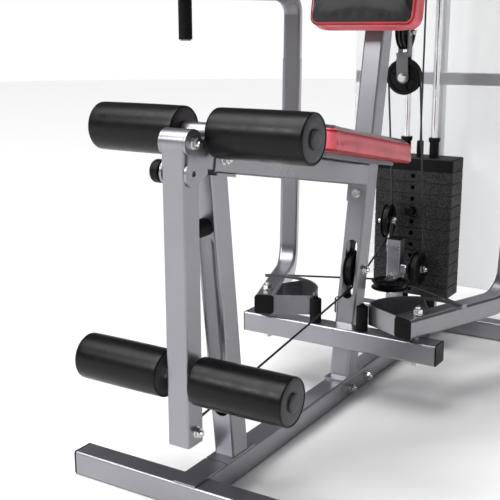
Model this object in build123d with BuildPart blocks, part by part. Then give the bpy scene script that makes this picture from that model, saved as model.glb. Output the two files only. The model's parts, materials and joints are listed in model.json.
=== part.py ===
from build123d import *

import os
from math import acos, atan2, cos, degrees, hypot, radians, sin, tan

# Multi station home gym, millimetres.  +X is the user's left-to-right direction seen from
# the front, +Y runs from the leg station back to the weight stack, +Z is up.  The origin
# is on the floor under the centre of the machine.

os.makedirs("parts", exist_ok=True)

# ---- driving dimensions -------------------------------------------------------------
WALL = 2.5                    # steel tube wall
CORNER = 5.0                  # outside corner radius of the square tubes
RAIL = 48.0                   # base rail and stabilizer section
SHANK = 5.0                   # M10 bolt radius
FIT = 0.1                     # radial play of a pulley or sleeve on its axle
GAP = 0.4                     # play between faces that slide on each other

STAB_FRONT_Y = -584.0         # centre line of the front stabilizer
STAB_REAR_Y = 617.0           # centre line of the rear stabilizer
STAB_FRONT_HALF = 257.0       # half lengths of the stabilizers
STAB_REAR_HALF = 300.0
RAIL_JOINT_Y = -20.0          # where the front and rear rails meet
CAP_T = 5.0                   # plastic end cap lip
FLANGE_T = 4.0                # welded plates on the rails
SLIP = 0.8                    # total play of a tube that slides inside another
SPLICE = 240.0                # inner sleeve of the rails
RAIL_BOLT_Z = 22.0
RAIL_BOLTS_Y = (25.0, 113.0)

PIVOT_Y = -598.0              # leg developer hinge
PIVOT_Z = 661.0
LEG = 45.0                    # leg developer tube section
LEG_BOTTOM_Z = 128.0
SLEEVE_R = 24.0
EYE_Z = 152.5                 # bolt that ties the leg cable
EAR_T = 4.5
EAR_ROOT_Y = -558.0
LOCK_Z = 611.0
STUB_NOSE = -32.0             # bracket's stub, along the seat beam from its front end
STUB_IN = 60.0
STUB_BOLT_RUN = 24.0
ROLLER_R = 43.0
ROLLER_IN = 34.0              # inner and outer ends of the foam rollers, from the centre plane
ROLLER_OUT = 217.6
AXLE_R = 12.5                 # roller axle tube under the foam
AXLE_WALL = 2.0
UPPER_AXLE = (-535.0, 673.0)  # Y, Z of the two roller axles
LOWER_AXLE = (PIVOT_Y, 250.6)

POST_W = 45.0
POST_D = 50.0
POST_FOOT_Y = -475.0          # front face of the seat post at the floor plate
POST_LEAN = 6.6               # degrees, top towards the front
POST_SLOT_W = 32.0
POST_SLOT_LOW = 138.0
POST_SLOT_HIGH = 493.0
LEG_STOP_Z = 507.0            # rubber buffer between the post and the leg developer
BEAM_W = 48.0
BEAM_H = 50.0
BEAM_FRONT_Y = -531.0
BEAM_FRONT_Z = 604.4          # underside of the seat beam at its front end
BEAM_SLOPE = 10.3             # degrees, falling towards the mast
PLATE_LOW_Z = 452.0           # beam's end plate on the mast
PLATE_TOP_Z = 538.0
PLATE_BOLT_Z = 473.0

SEAT_HALF = 134.0
SEAT_LENGTH = 410.0
SEAT_T = 50.0
SEAT_START = 218.0            # from the beam's front end, along the beam
BACK_MID_Z = 1105.0
BACK_HALF = 132.0
BACK_LENGTH = 560.0
BACK_T = 52.0
SPACER_T = 22.0
BOARD_T = 12.0
SPACERS_Z = (920.0, 1240.0)

MAST_W = 48.0
MAST_D = 51.0
MAST_LEAN = 10.6              # degrees, top towards the rear
MAST_REF_Y = 32.3             # front face of the mast at the crossbar's top
BEND_Z = 1300.0               # the mast is upright above this height
MAST_SLOT_Z = 299.0           # pulley slot
MAST_SLOT = 138.0
MAST_SLOT_W = 28.0
BOOM_Z = 1900.0               # underside of the top boom
BOOM_H = 60.0
BOOM_W = 25.0
BOOM_GAP = 26.0               # between the two tubes of the boom
BOOM_FRONT_Y = -215.0
BOOM_REAR_Y = 625.0

BAR_HALF = 242.0              # crossbar that carries the press arms
BAR_TOP_Z = 176.4
BAR_H = 47.7
BAR_D = 50.7

STOP_X = 59.5                 # rubber stops on the crossbar
STOP_Y = 3.0
STOP_H = 56.0

ARM = 46.0                    # press arm tube section
ARM_X = 191.0                 # vertical press arm hinges
ARM_Y = 5.0
ARM_Z = 211.0                 # centre line height of the arm's lower run
ARM_TURN = 20.3               # degrees that the lower run points outwards
ARM_NOSE = 45.0               # hinge to the front cap
ARM_RUN = 315.0               # hinge to the rising tube
ARM_RISE_Z = 767.0            # joint line of the telescopic upper arm
ARM_LEAN = 4.0                # degrees
CAM_R = 121.0
CAM_T = 4.0
CAM_FIRST = 176.0             # degrees about the hinge, measured from the outward side
CAM_LAST = 104.0
GUIDE_SPAN = (6.0, 124.0)     # degrees about the hinge, measured from the inward side
HUB = (430.0, 20.0, 940.0)    # where the forearm pad stands on the right upper arm
PAD_LOW = 980.0
PAD_HIGH = 1200.0

WHEEL_R = 44.0                # pulleys
WHEEL_T = 18.0
CHEEK_T = 3.0                 # side plates of the pulley blocks
CHEEK_GAP = WHEEL_T / 2 + 1.0
CABLE_R = 2.4
GROOVE_R = 39.0
CABLE_RUN_R = GROOVE_R + CABLE_R + 0.6
MAST_WHEEL = (81.0, 295.5)
FLOAT_Z = 726.0
UPPER_Z = 836.0
TOP_WHEEL_Z = 1946.0
TOP_FRONT_Y = -165.0
LEG_CABLE_LEAD = 20.0         # straight end of the cable before the mast pulley
CABLE_Z = 237.6               # the arm cable runs level, just above the arms
YOKE = (44.0, 190.0, CABLE_Z)
YOKE_TAIL = 62.0              # yoke pulley to the leg cable's socket
BLOCK_REACH = 43.0            # floating wheel to the top of its cheeks
LAT_DROP = 250.0              # cable between the front top pulley and the bar
LAT_HOOK = 46.0               # cable end to the bar's centre line
LAT_BAR_HALF = 500.0
LAT_BAR_BEND = 390.0
LAT_BAR_DROOP = 95.0
LAT_Y = TOP_FRONT_Y - CABLE_RUN_R
LAT_Z = TOP_WHEEL_Z - LAT_DROP

STACK_Y = 467.0
FLOAT_Y = STACK_Y - 3 * CABLE_RUN_R   # floating pulley block, between the mast and the stack
TOP_MID_Y = FLOAT_Y - 2 * CABLE_RUN_R
ROD_X = 38.5
ROD_R = 8.0
ROD_SOCKET = 30.0             # rods' feet above the rail
FOOT_H = 40.0                 # cross member that holds them
HEADER_T = 6.0                # plate that holds their heads
PLATE_HALF = 106.0
PLATE_DEPTH = 84.0
PLATE_T = 30.0
PLATE_PITCH = 30.5
STACK_FOOT_Z = 148.0
PLATES_DOWN = 7
PLATES_UP = 4
STEM_R = 9.0
STEM_OUT = 40.0               # selector stem above the stack's top plate
STACK_TOP_Z = STACK_FOOT_Z + (PLATES_DOWN + PLATES_UP) * PLATE_PITCH
HEAD_T = 31.5                 # top plate of the stack
COLUMN_Y = 326.5
COLUMN = 35.0
COLUMN_TOP_Z = 319.0
BRACE_Z = 712.0
BRACE_T = 12.0
BRACE_H = 33.0
UPRIGHT = 30.0                # slim upright behind the stack
UPRIGHT_Y = 592.0
GUARD_HALF = 236.0
GUARD_H = 1700.0
GUARD_T = 4.0
GUARD_Y = 561.0
GUARD_MID_Z = 1000.0


# corners of the two long cables; the pulleys stand inside them
LEG_ROUTE = [
    (0.0, PIVOT_Y + LEG / 2 + 12.0, 157.3),
    (0.0, 83.5, 253.1),
    (-44.0, 409.0, 322.0),
    (-CABLE_RUN_R, FLOAT_Y - 4.3, FLOAT_Z + CABLE_RUN_R),
    (CABLE_RUN_R, FLOAT_Y - 4.3, FLOAT_Z + CABLE_RUN_R),
    (44.0, 421.0, 184.0),
    (44.0, YOKE[1] + YOKE_TAIL, 212.0),
]
LAT_ROUTE = [
    (0.0, TOP_FRONT_Y - CABLE_RUN_R, TOP_WHEEL_Z),
    (0.0, TOP_FRONT_Y - CABLE_RUN_R, TOP_WHEEL_Z + CABLE_RUN_R),
    (0.0, TOP_MID_Y + CABLE_RUN_R, TOP_WHEEL_Z + CABLE_RUN_R),
    (0.0, FLOAT_Y - CABLE_RUN_R, UPPER_Z - CABLE_RUN_R),
    (0.0, FLOAT_Y + CABLE_RUN_R, UPPER_Z - CABLE_RUN_R),
    (0.0, STACK_Y - 2 * CABLE_RUN_R, TOP_WHEEL_Z + CABLE_RUN_R),
    (0.0, STACK_Y, TOP_WHEEL_Z + CABLE_RUN_R),
    (0.0, STACK_Y, TOP_WHEEL_Z),
]


# ---- planes and small helpers -------------------------------------------------------
def along(x, y, z, direction, across=(1, 0, 0)):
    """Plane at a point whose normal is the given direction."""
    return Plane(origin=(x, y, z), x_dir=across, z_dir=direction)


def keep(part, name):
    """Label a finished piece and write it."""
    part.label = name
    export_step(part, f"parts/{name}.step")
    return part


def tube(plane, width, depth, length, corner=CORNER, wall=WALL):
    """Rectangular tube from a plane along its normal."""
    with BuildPart() as piece:
        with BuildSketch(plane):
            RectangleRounded(width, depth, corner)
            RectangleRounded(width - 2 * wall, depth - 2 * wall, corner - wall, mode=Mode.SUBTRACT)
        extrude(amount=length)
    return piece.part


def rod(plane, radius, length):
    """Round bar from a plane along its normal."""
    with BuildPart() as piece:
        with BuildSketch(plane):
            Circle(radius)
        extrude(amount=length)
    return piece.part


def block(plane, width, depth, height, corner=0.0):
    """Solid bar, with rounded corners when a radius is given."""
    with BuildPart() as piece:
        with BuildSketch(plane):
            if corner:
                RectangleRounded(width, depth, corner)
            else:
                Rectangle(width, depth)
        extrude(amount=height)
    return piece.part


def fastener(start, direction, grip, radius=SHANK):
    """Hex bolt with washers and nut, clamping a grip that starts at the given point."""
    head, washer_t = 1.3 * radius, 0.4 * radius
    across = (0, 0, 1) if abs(direction[2]) < 0.9 else (1, 0, 0)
    seat = along(*start, direction, across)
    with BuildPart() as piece:
        with BuildSketch(seat.offset(-washer_t)):
            Circle(2.1 * radius)
        extrude(amount=washer_t)
        with BuildSketch(seat.offset(-washer_t - head)):
            RegularPolygon(1.85 * radius, 6)
        extrude(amount=head)
        with BuildSketch(seat.offset(-washer_t)):
            Circle(radius)
        extrude(amount=grip + 2 * washer_t + 2 * head)
        with BuildSketch(seat.offset(grip)):
            Circle(2.1 * radius)
        extrude(amount=washer_t)
        with BuildSketch(seat.offset(grip + washer_t)):
            RegularPolygon(1.85 * radius, 6)
        extrude(amount=1.6 * radius)
    return piece.part


def hole(start, direction, depth, radius=SHANK + 0.3):
    """Clearance hole cutter that overshoots both faces."""
    across = (0, 0, 1) if abs(direction[2]) < 0.9 else (1, 0, 0)
    return rod(along(*start, direction, across).offset(-1.0), radius, depth + 2.0)


def joined(*solids):
    """Several separate solids in one node."""
    return Compound(children=list(solids))


# ---- shared stations -----------------------------------------------------------------
def beam_point(distance, rise):
    """(y, z) of a point on the seat beam: distance from its front end, rise above its underside."""
    slope = radians(BEAM_SLOPE)
    return (BEAM_FRONT_Y + distance * cos(slope) + rise * sin(slope),
            BEAM_FRONT_Z - distance * sin(slope) + rise * cos(slope))


def beam_plane(distance, rise):
    """Plane across the seat beam, its normal along the beam, local y up."""
    slope = radians(BEAM_SLOPE)
    return along(0, *beam_point(distance, rise), (0, cos(slope), -sin(slope)))


def seat_plane(distance, rise):
    """Plane parallel to the seat, its normal square to the beam."""
    slope = radians(BEAM_SLOPE)
    return along(0, *beam_point(distance, rise), (0, sin(slope), cos(slope)))


def mast_front(z):
    """Y of the leaning mast's front face at a height."""
    return MAST_REF_Y + (z - BAR_TOP_Z) * tan(radians(MAST_LEAN))


def mast_plane(z, out=0.0):
    """Plane parallel to the leaning mast's front face, local y up the mast, normal forward."""
    lean = radians(MAST_LEAN)
    return Plane(
        origin=(0, mast_front(z) - out * cos(lean), z + out * sin(lean)),
        x_dir=(1, 0, 0),
        z_dir=(0, -cos(lean), sin(lean)),
    )


def arm_point(distance, side=-1):
    """Point on an arm's lower run, measured rearwards from its hinge."""
    turn = radians(ARM_TURN)
    return (side * (ARM_X + distance * sin(turn)), ARM_Y + distance * cos(turn))


# ---- base ----------------------------------------------------------------------------
def stabilizer(centre_y, half):
    """Floor tube across the machine."""
    return tube(along(-half, centre_y, RAIL / 2, (1, 0, 0), (0, 1, 0)), RAIL, RAIL, 2 * half)


def end_plug(plane, section, depth=None, lip=CAP_T, corner=CORNER):
    """Plastic plug: a lip over the tube's end and a body inside it, along the plane's normal."""
    depth = depth or section
    with BuildPart() as piece:
        with BuildSketch(plane):
            RectangleRounded(section, depth, corner)
        extrude(amount=lip)
        with BuildSketch(plane):
            RectangleRounded(section - 2 * WALL - 0.6, depth - 2 * WALL - 0.6, corner - WALL)
        extrude(amount=-22)
        fillet(piece.faces().sort_by(Axis((0, 0, 0), tuple(plane.z_dir)))[-1].edges(), 1.5)
    return piece.part


def stabilizer_caps():
    """Four plugs in the stabilizers' ends."""
    caps = []
    for centre_y, half in ((STAB_FRONT_Y, STAB_FRONT_HALF), (STAB_REAR_Y, STAB_REAR_HALF)):
        for side in (-1, 1):
            plane = along(side * half, centre_y, RAIL / 2, (side, 0, 0), (0, 1, 0))
            caps.append(end_plug(plane, RAIL))
    return joined(*caps)


def rail(start_y, end_y):
    """Base rail along the machine."""
    return tube(along(0, start_y, RAIL / 2, (0, 1, 0)), RAIL, RAIL, end_y - start_y)


def rail_bolts():
    """Start, direction and grip of the bolts that hold the rails' splice."""
    return [((-RAIL / 2, y, RAIL_BOLT_Z), (1, 0, 0), RAIL) for y in RAIL_BOLTS_Y]


def rail_splice():
    """Inner square sleeve that joins the two rails under the mast."""
    inner = RAIL - 2 * WALL - SLIP
    with BuildPart() as piece:
        add(tube(along(0, RAIL_JOINT_Y - SPLICE / 3, RAIL / 2, (0, 1, 0)), inner, inner, SPLICE, 4.0, 3.0))
        for place in rail_bolts():
            add(hole(*place), mode=Mode.SUBTRACT)
    return piece.part


def rear_rail():
    """Rear base rail with its splice bolt holes."""
    with BuildPart() as piece:
        add(rail(RAIL_JOINT_Y + 1.0, STAB_REAR_Y - RAIL / 2))
        for place in rail_bolts():
            add(hole(*place), mode=Mode.SUBTRACT)
    return piece.part


def frame_plate(width, start_y, end_y, z=RAIL, thickness=FLANGE_T):
    """Flat welded plate on top of the rails."""
    plane = along(0, (start_y + end_y) / 2, z, (0, 0, 1))
    return block(plane, width, end_y - start_y, thickness, 3.0)


# ---- seat post, beam and leg station -------------------------------------------------
def post_plane(z):
    """Plane across the leaning seat post at a height, local x across, local y rearwards."""
    lean = radians(POST_LEAN)
    shift = (z - RAIL) * tan(lean)
    return along(0, POST_FOOT_Y + POST_D / 2 - shift, z, (0, -sin(lean), cos(lean)))


def seat_post():
    """Leaning post with a long cable slot through its front and back."""
    floor_z = RAIL + FLANGE_T
    top = seat_plane(0, -5.0)
    with BuildPart() as piece:
        add(tube(post_plane(floor_z - 20), POST_W, POST_D, 640))
        split(bisect_by=Plane.XY.offset(floor_z), keep=Keep.TOP)
        split(bisect_by=top, keep=Keep.BOTTOM)
        lean = radians(POST_LEAN)
        mid = post_plane((POST_SLOT_LOW + POST_SLOT_HIGH) / 2)
        face = Plane(origin=mid.origin, x_dir=(0, -sin(lean), cos(lean)), z_dir=(0, cos(lean), sin(lean)))
        with BuildSketch(face.offset(-POST_D)):
            SlotOverall((POST_SLOT_HIGH - POST_SLOT_LOW) / cos(lean), POST_SLOT_W)
        extrude(amount=2 * POST_D, mode=Mode.SUBTRACT)
    return piece.part


def post_head():
    """Sloping plate between the seat post and the beam."""
    start, length = 8.0, 62.0
    return block(seat_plane(start + length / 2, -5.0), BEAM_W, length, 5.0, 3.0)


def leg_stop():
    """Rubber buffer on the post, against which the leg developer rests."""
    z = LEG_STOP_Z
    front = PIVOT_Y + LEG / 2 + GAP
    length = POST_FOOT_Y - (z - RAIL) * tan(radians(POST_LEAN)) - front
    with BuildPart() as piece:
        add(rod(along(0, front, z, (0, 1, 0)), 16.0, length + 8))
        add(block(post_plane(z - 60), 80, POST_D, 120), mode=Mode.SUBTRACT)
        fillet(piece.faces().sort_by(Axis.Y)[0].edges(), 5.0)
    return piece.part


def plate_bolt():
    """Start, direction and grip of the bolt that clamps the beam's end plate to the mast."""
    plane = mast_plane(PLATE_BOLT_Z, FLANGE_T)
    return tuple(plane.origin), tuple(-plane.z_dir), MAST_D + FLANGE_T


def seat_beam():
    """Sloping beam from the leg bracket to its end plate on the mast's front."""
    with BuildPart() as piece:
        add(tube(beam_plane(0, BEAM_H / 2), BEAM_W, BEAM_H, 700))
        split(bisect_by=mast_plane(560, FLANGE_T / 2), keep=Keep.TOP)
        end = mast_plane((PLATE_LOW_Z + PLATE_TOP_Z) / 2)
        add(block(end, BEAM_W, PLATE_TOP_Z - PLATE_LOW_Z, FLANGE_T, 4.0))
        add(hole(*stub_bolt()), mode=Mode.SUBTRACT)
        add(hole(*plate_bolt()), mode=Mode.SUBTRACT)
    return piece.part


def stub_bolt():
    """Start, direction and grip of the bolt through the beam's nose and the bracket's stub."""
    return (-BEAM_W / 2, *beam_point(STUB_BOLT_RUN, BEAM_H / 2)), (1, 0, 0), BEAM_W


def ear(side):
    """Hinge ear of the leg bracket: hinge eye, lock lobe and the root at the stub tube."""
    inner = side * (LEG / 2 + GAP)
    plane = Plane(origin=(inner, 0, 0), x_dir=(0, 1, 0), z_dir=(1, 0, 0))
    eye = (PIVOT_Y, PIVOT_Z)
    lobe = (PIVOT_Y, LOCK_Z)
    with BuildPart() as piece:
        with BuildSketch(plane):
            with Locations(eye):
                Circle(SLEEVE_R)
            with Locations(lobe):
                Circle(SLEEVE_R - 1)
            with BuildLine():
                Polyline(
                    (PIVOT_Y - 13, PIVOT_Z - 10),
                    (PIVOT_Y + 10, PIVOT_Z + 20),
                    (EAR_ROOT_Y, PIVOT_Z - 9),
                    (EAR_ROOT_Y, LOCK_Z - 5),
                    (PIVOT_Y + 8, LOCK_Z - 20),
                    (PIVOT_Y - 15, LOCK_Z + 10),
                    close=True,
                )
            make_face()
            with Locations(eye):
                Circle(SHANK + 0.1, mode=Mode.SUBTRACT)
            with Locations(lobe):
                Circle(5.2, mode=Mode.SUBTRACT)
        extrude(amount=side * EAR_T)
    return piece.part


def leg_bracket():
    """Stub tube in the beam's nose with the hinge ears and the knee rollers' axle on it."""
    width = BEAM_W - 2 * WALL - SLIP
    depth = BEAM_H - 2 * WALL - SLIP
    nose = beam_plane(STUB_NOSE, BEAM_H / 2)
    with BuildPart() as piece:
        add(tube(nose, width, depth, STUB_IN - STUB_NOSE, 4.0))
        for side in (-1, 1):
            add(ear(side))
        with BuildSketch(nose.offset(-EAR_T)):
            RectangleRounded(LEG + 2 * GAP + 2 * EAR_T, depth, 2.0)
        extrude(amount=EAR_T)
        add(upper_axle())
        add(hole(*stub_bolt()), mode=Mode.SUBTRACT)
    return piece.part


def axle(centre, half):
    """Roller axle tube across the machine."""
    with BuildPart() as piece:
        with BuildSketch(along(-half, *centre, (1, 0, 0), (0, 1, 0))):
            Circle(AXLE_R)
            Circle(AXLE_R - AXLE_WALL, mode=Mode.SUBTRACT)
        extrude(amount=2 * half)
    return piece.part


def upper_axle():
    """Fixed axle of the knee rollers: thick middle sleeve on a saddle welded to the stub."""
    y, z = UPPER_AXLE
    with BuildPart() as piece:
        add(axle(UPPER_AXLE, ROLLER_OUT + 3))
        with BuildSketch(along(-ROLLER_IN + 1.2, y, z, (1, 0, 0), (0, 1, 0))):
            Circle(16.5)
            Circle(AXLE_R - 0.5, mode=Mode.SUBTRACT)
        extrude(amount=2 * (ROLLER_IN - 1.2))
        add(block(seat_plane(-17, BEAM_H - WALL - SLIP / 2), 28, 24, 12))
        with BuildSketch(along(-40, y, z, (1, 0, 0), (0, 1, 0))):
            Circle(AXLE_R - AXLE_WALL)
        extrude(amount=80, mode=Mode.SUBTRACT)
    return piece.part


def leg_tube():
    """Swinging leg developer: square tube, hinge sleeve on top and an open lower end."""
    y, z = PIVOT_Y, PIVOT_Z
    with BuildPart() as piece:
        add(tube(along(0, y, LEG_BOTTOM_Z, (0, 0, 1)), LEG, LEG, z - LEG_BOTTOM_Z, 4.0))
        with BuildSketch(along(-LEG / 2, y, z, (1, 0, 0), (0, 1, 0))):
            Circle(SLEEVE_R)
        extrude(amount=LEG)
        with BuildSketch(along(-LEG, y, z, (1, 0, 0), (0, 1, 0))):
            Circle(SHANK + FIT)
        extrude(amount=2 * LEG, mode=Mode.SUBTRACT)
        with BuildSketch(along(-LEG, *LOWER_AXLE, (1, 0, 0), (0, 1, 0))):
            Circle(AXLE_R + 0.1)
        extrude(amount=2 * LEG, mode=Mode.SUBTRACT)
        add(hole((-LEG / 2, y, EYE_Z), (1, 0, 0), LEG), mode=Mode.SUBTRACT)
        with BuildSketch(along(0, y, EYE_Z, (0, 1, 0))):
            Circle(8.0)
        extrude(amount=LEG, mode=Mode.SUBTRACT)
    return piece.part


def eye_bolt():
    """Cross bolt low in the leg tube, with the tongue that holds the cable's end."""
    y = PIVOT_Y
    with BuildPart() as piece:
        add(fastener((-LEG / 2, y, EYE_Z), (1, 0, 0), LEG))
        with BuildSketch(along(-4, y + LEG / 4 + 2, EYE_Z, (1, 0, 0), (0, 1, 0))):
            RectangleRounded(LEG / 2 + 14, 12.0, 4.0)
        extrude(amount=8)
    return piece.part


def roller_foam(centre, side):
    """Foam roller on its axle: a plain padded cylinder with rounded ends."""
    start = side * ROLLER_IN
    with BuildPart() as piece:
        with BuildSketch(along(start, *centre, (side, 0, 0), (0, 1, 0))):
            Circle(ROLLER_R)
            Circle(AXLE_R + 0.3, mode=Mode.SUBTRACT)
        extrude(amount=ROLLER_OUT - ROLLER_IN)
        rims = piece.edges().filter_by(GeomType.CIRCLE).filter_by(lambda e: e.radius > ROLLER_R - 1)
        fillet(rims, 4.0)
    return piece.part


# ---- seat and back -------------------------------------------------------------------
def seat_board():
    """Steel pan under the seat cushion."""
    plane = seat_plane(SEAT_START + SEAT_LENGTH / 2, BEAM_H)
    return block(plane, 1.5 * SEAT_HALF, SEAT_LENGTH - 50, 7.6, 20.0)


def seat_cushion():
    """Plain padded block on the seat pan."""
    plane = seat_plane(SEAT_START + SEAT_LENGTH / 2, BEAM_H + 8)
    with BuildPart() as piece:
        add(block(plane, 2 * SEAT_HALF, SEAT_LENGTH, SEAT_T, 22.0))
        fillet(piece.faces().sort_by(Axis.Z)[-1].edges(), 8.0)
    return piece.part


def back_spacers():
    """Two channel brackets between the mast and the back board."""
    pieces = []
    for z in SPACERS_Z:
        pieces.append(block(mast_plane(z), 80, 50, SPACER_T, 3.0))
    return joined(*pieces)


def back_board():
    """Plywood board of the backrest."""
    return block(mast_plane(BACK_MID_Z, SPACER_T), 2 * BACK_HALF - 50, BACK_LENGTH - 50, BOARD_T, 16.0)


def back_cushion():
    """Plain padded block of the backrest."""
    plane = mast_plane(BACK_MID_Z, SPACER_T + BOARD_T + GAP)
    with BuildPart() as piece:
        add(block(plane, 2 * BACK_HALF, BACK_LENGTH, BACK_T, 26.0))
        fillet(piece.faces().sort_by(Axis.Y)[0].edges(), 8.0)
    return piece.part


# ---- mast, crossbar and top boom -----------------------------------------------------
def mast_axis(z):
    """Plane across the leaning mast at a height, on its centre line, normal up the mast."""
    lean = radians(MAST_LEAN)
    return along(0, mast_front(z) + MAST_D / 2 / cos(lean), z, (0, sin(lean), cos(lean)))


def mast_bend():
    """Plane that halves the angle at the mast's bend."""
    half = radians(MAST_LEAN) / 2
    return along(0, mast_axis(BEND_Z).origin.Y, BEND_Z, (0, sin(half), cos(half)))


def upper_mast():
    """Vertical upper part of the mast, mitred at the bend."""
    bend_y = mast_axis(BEND_Z).origin.Y
    with BuildPart() as piece:
        add(tube(along(0, bend_y, BEND_Z - 60, (0, 0, 1)), MAST_W, MAST_D, BOOM_Z - BEND_Z + 60))
        split(bisect_by=mast_bend(), keep=Keep.TOP)
    return piece.part


def mast():
    """Main upright: leaning lower part with a pulley slot, vertical upper part."""
    foot_z = RAIL + FLANGE_T + 1
    with BuildPart() as piece:
        add(tube(mast_axis(foot_z - 30), MAST_W, MAST_D, (BEND_Z - foot_z + 100) / cos(radians(MAST_LEAN))))
        split(bisect_by=Plane.XY.offset(foot_z), keep=Keep.TOP)
        split(bisect_by=mast_bend(), keep=Keep.BOTTOM)
        add(upper_mast())
        with BuildSketch(mast_plane(MAST_SLOT_Z, 20)):
            SlotOverall(MAST_SLOT, MAST_SLOT_W, rotation=90)
        extrude(amount=-2 * MAST_D, mode=Mode.SUBTRACT)
        y, z = MAST_WHEEL
        add(hole((-MAST_W / 2, y, z), (1, 0, 0), MAST_W), mode=Mode.SUBTRACT)
        add(hole(*plate_bolt()), mode=Mode.SUBTRACT)
    return piece.part


def crossbar():
    """Bar across the mast's front that carries the press arms, coped to the leaning mast."""
    with BuildPart() as piece:
        plane = along(-BAR_HALF, MAST_REF_Y - BAR_D / 2, BAR_TOP_Z - BAR_H / 2, (1, 0, 0), (0, 1, 0))
        add(tube(plane, BAR_D, BAR_H, 2 * BAR_HALF))
        add(block(mast_axis(60), MAST_W + 0.2, MAST_D + 0.2, 200), mode=Mode.SUBTRACT)
        for side in (-1, 1):
            add(hole((side * ARM_X, ARM_Y, BAR_TOP_Z - BAR_H), (0, 0, 1), BAR_H, 6.4), mode=Mode.SUBTRACT)
            add(hole((side * STOP_X, STOP_Y, BAR_TOP_Z - 8), (0, 0, 1), 10, 4.0), mode=Mode.SUBTRACT)
    return piece.part


def crossbar_caps():
    """Plugs in the crossbar's ends."""
    caps = []
    for side in (-1, 1):
        centre = (side * BAR_HALF, MAST_REF_Y - BAR_D / 2, BAR_TOP_Z - BAR_H / 2)
        caps.append(end_plug(along(*centre, (side, 0, 0), (0, 1, 0)), BAR_D, BAR_H, 3.0))
    return joined(*caps)


def arm_stops():
    """Rubber buffers on the crossbar that stop the press arms' cams."""
    stops = []
    for side in (-1, 1):
        with BuildPart() as stop:
            with BuildSketch(along(side * STOP_X, STOP_Y, BAR_TOP_Z, (0, 0, 1))):
                Circle(13.5)
                Circle(3.3, mode=Mode.SUBTRACT)
            extrude(amount=STOP_H)
            fillet(stop.faces().sort_by(Axis.Z)[-1].edges().sort_by(SortBy.RADIUS)[-1], 2.0)
        stops.append(stop.part)
    return joined(*stops)


def arm_stop_bolts():
    """Bolts through the rubber buffers, with a broad washer."""
    bolts = []
    for side in (-1, 1):
        top = along(side * STOP_X, STOP_Y, BAR_TOP_Z + STOP_H, (0, 0, 1))
        with BuildPart() as bolt:
            with BuildSketch(top):
                Circle(8.0)
            extrude(amount=1.6)
            with BuildSketch(top.offset(1.6)):
                RegularPolygon(5.8, 6)
            extrude(amount=4.0)
            with BuildSketch(top):
                Circle(3.0)
            extrude(amount=-STOP_H - 6)
        bolts.append(bolt.part)
    return joined(*bolts)


def boom():
    """Pair of tubes that carry the top pulleys between them."""
    tubes = []
    for side in (-1, 1):
        plane = along(side * (BOOM_GAP + BOOM_W) / 2, BOOM_FRONT_Y, BOOM_Z + BOOM_H / 2, (0, 1, 0))
        with BuildPart() as bar:
            add(tube(plane, BOOM_W, BOOM_H, BOOM_REAR_Y - BOOM_FRONT_Y, 3.0, 2.0))
            for y in (TOP_FRONT_Y, TOP_MID_Y, top_rear_y()):
                add(hole((-45, y, TOP_WHEEL_Z), (1, 0, 0), 90), mode=Mode.SUBTRACT)
        tubes.append(bar.part)
    return joined(*tubes)


def top_rear_y():
    """Centre of the rear top pulley: its cable falls on the stack's centre."""
    return STACK_Y - CABLE_RUN_R


def boom_caps():
    """Plugs in the boom tubes' ends."""
    caps = []
    for side in (-1, 1):
        for y, way in ((BOOM_FRONT_Y, -1), (BOOM_REAR_Y, 1)):
            centre = (side * (BOOM_GAP + BOOM_W) / 2, y, BOOM_Z + BOOM_H / 2)
            with BuildPart() as cap:
                with BuildSketch(along(*centre, (0, way, 0))):
                    RectangleRounded(BOOM_W, BOOM_H, 3.0)
                extrude(amount=4)
                with BuildSketch(along(*centre, (0, way, 0))):
                    RectangleRounded(BOOM_W - 4.6, BOOM_H - 4.6, 1.0)
                extrude(amount=-18)
            caps.append(cap.part)
    return joined(*caps)


def rear_upright():
    """Slim upright behind the weight stack."""
    return tube(along(0, UPRIGHT_Y, RAIL, (0, 0, 1)), UPRIGHT, UPRIGHT, BOOM_Z - RAIL, 3.0, 2.0)


def brace_bar():
    """Flat bar across the front of the rear upright."""
    brace_y = UPRIGHT_Y - (UPRIGHT + BRACE_T) / 2
    plane = along(-GUARD_HALF, brace_y, BRACE_Z, (1, 0, 0), (0, 1, 0))
    return tube(plane, BRACE_T, BRACE_H, 2 * GUARD_HALF, 2.0, 1.5)


def rear_guard():
    """Frosted clear guard sheet behind the stack."""
    plane = along(0, GUARD_Y, GUARD_MID_Z, (0, 1, 0))
    return block(plane, 2 * GUARD_HALF, GUARD_H, GUARD_T, 12.0)


# ---- press arms ----------------------------------------------------------------------
def arm_heading(side):
    """Horizontal unit vector along an arm's lower run, pointing rearwards."""
    turn = radians(ARM_TURN)
    return (side * sin(turn), cos(turn), 0)


def arm_riser(side, z):
    """Point on the axis of an arm's leaning riser."""
    x, y = arm_point(ARM_RUN, side)
    heading = arm_heading(side)
    back = (z - ARM_Z) * tan(radians(ARM_LEAN))
    return (x + back * heading[0], y + back * heading[1], z)


def square_sweep(points, radius, section, wall, start_dir, across):
    """Rounded square tube swept along straight runs joined by bends."""
    with BuildPart() as piece:
        with BuildLine() as path:
            FilletPolyline(*points, radius=radius)
        with BuildSketch(Plane(origin=points[0], x_dir=across, z_dir=start_dir)):
            RectangleRounded(section, section, 8.0)
            RectangleRounded(section - 2 * wall, section - 2 * wall, 8.0 - wall, mode=Mode.SUBTRACT)
        sweep(path=path.wires()[0])
    return piece.part


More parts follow.
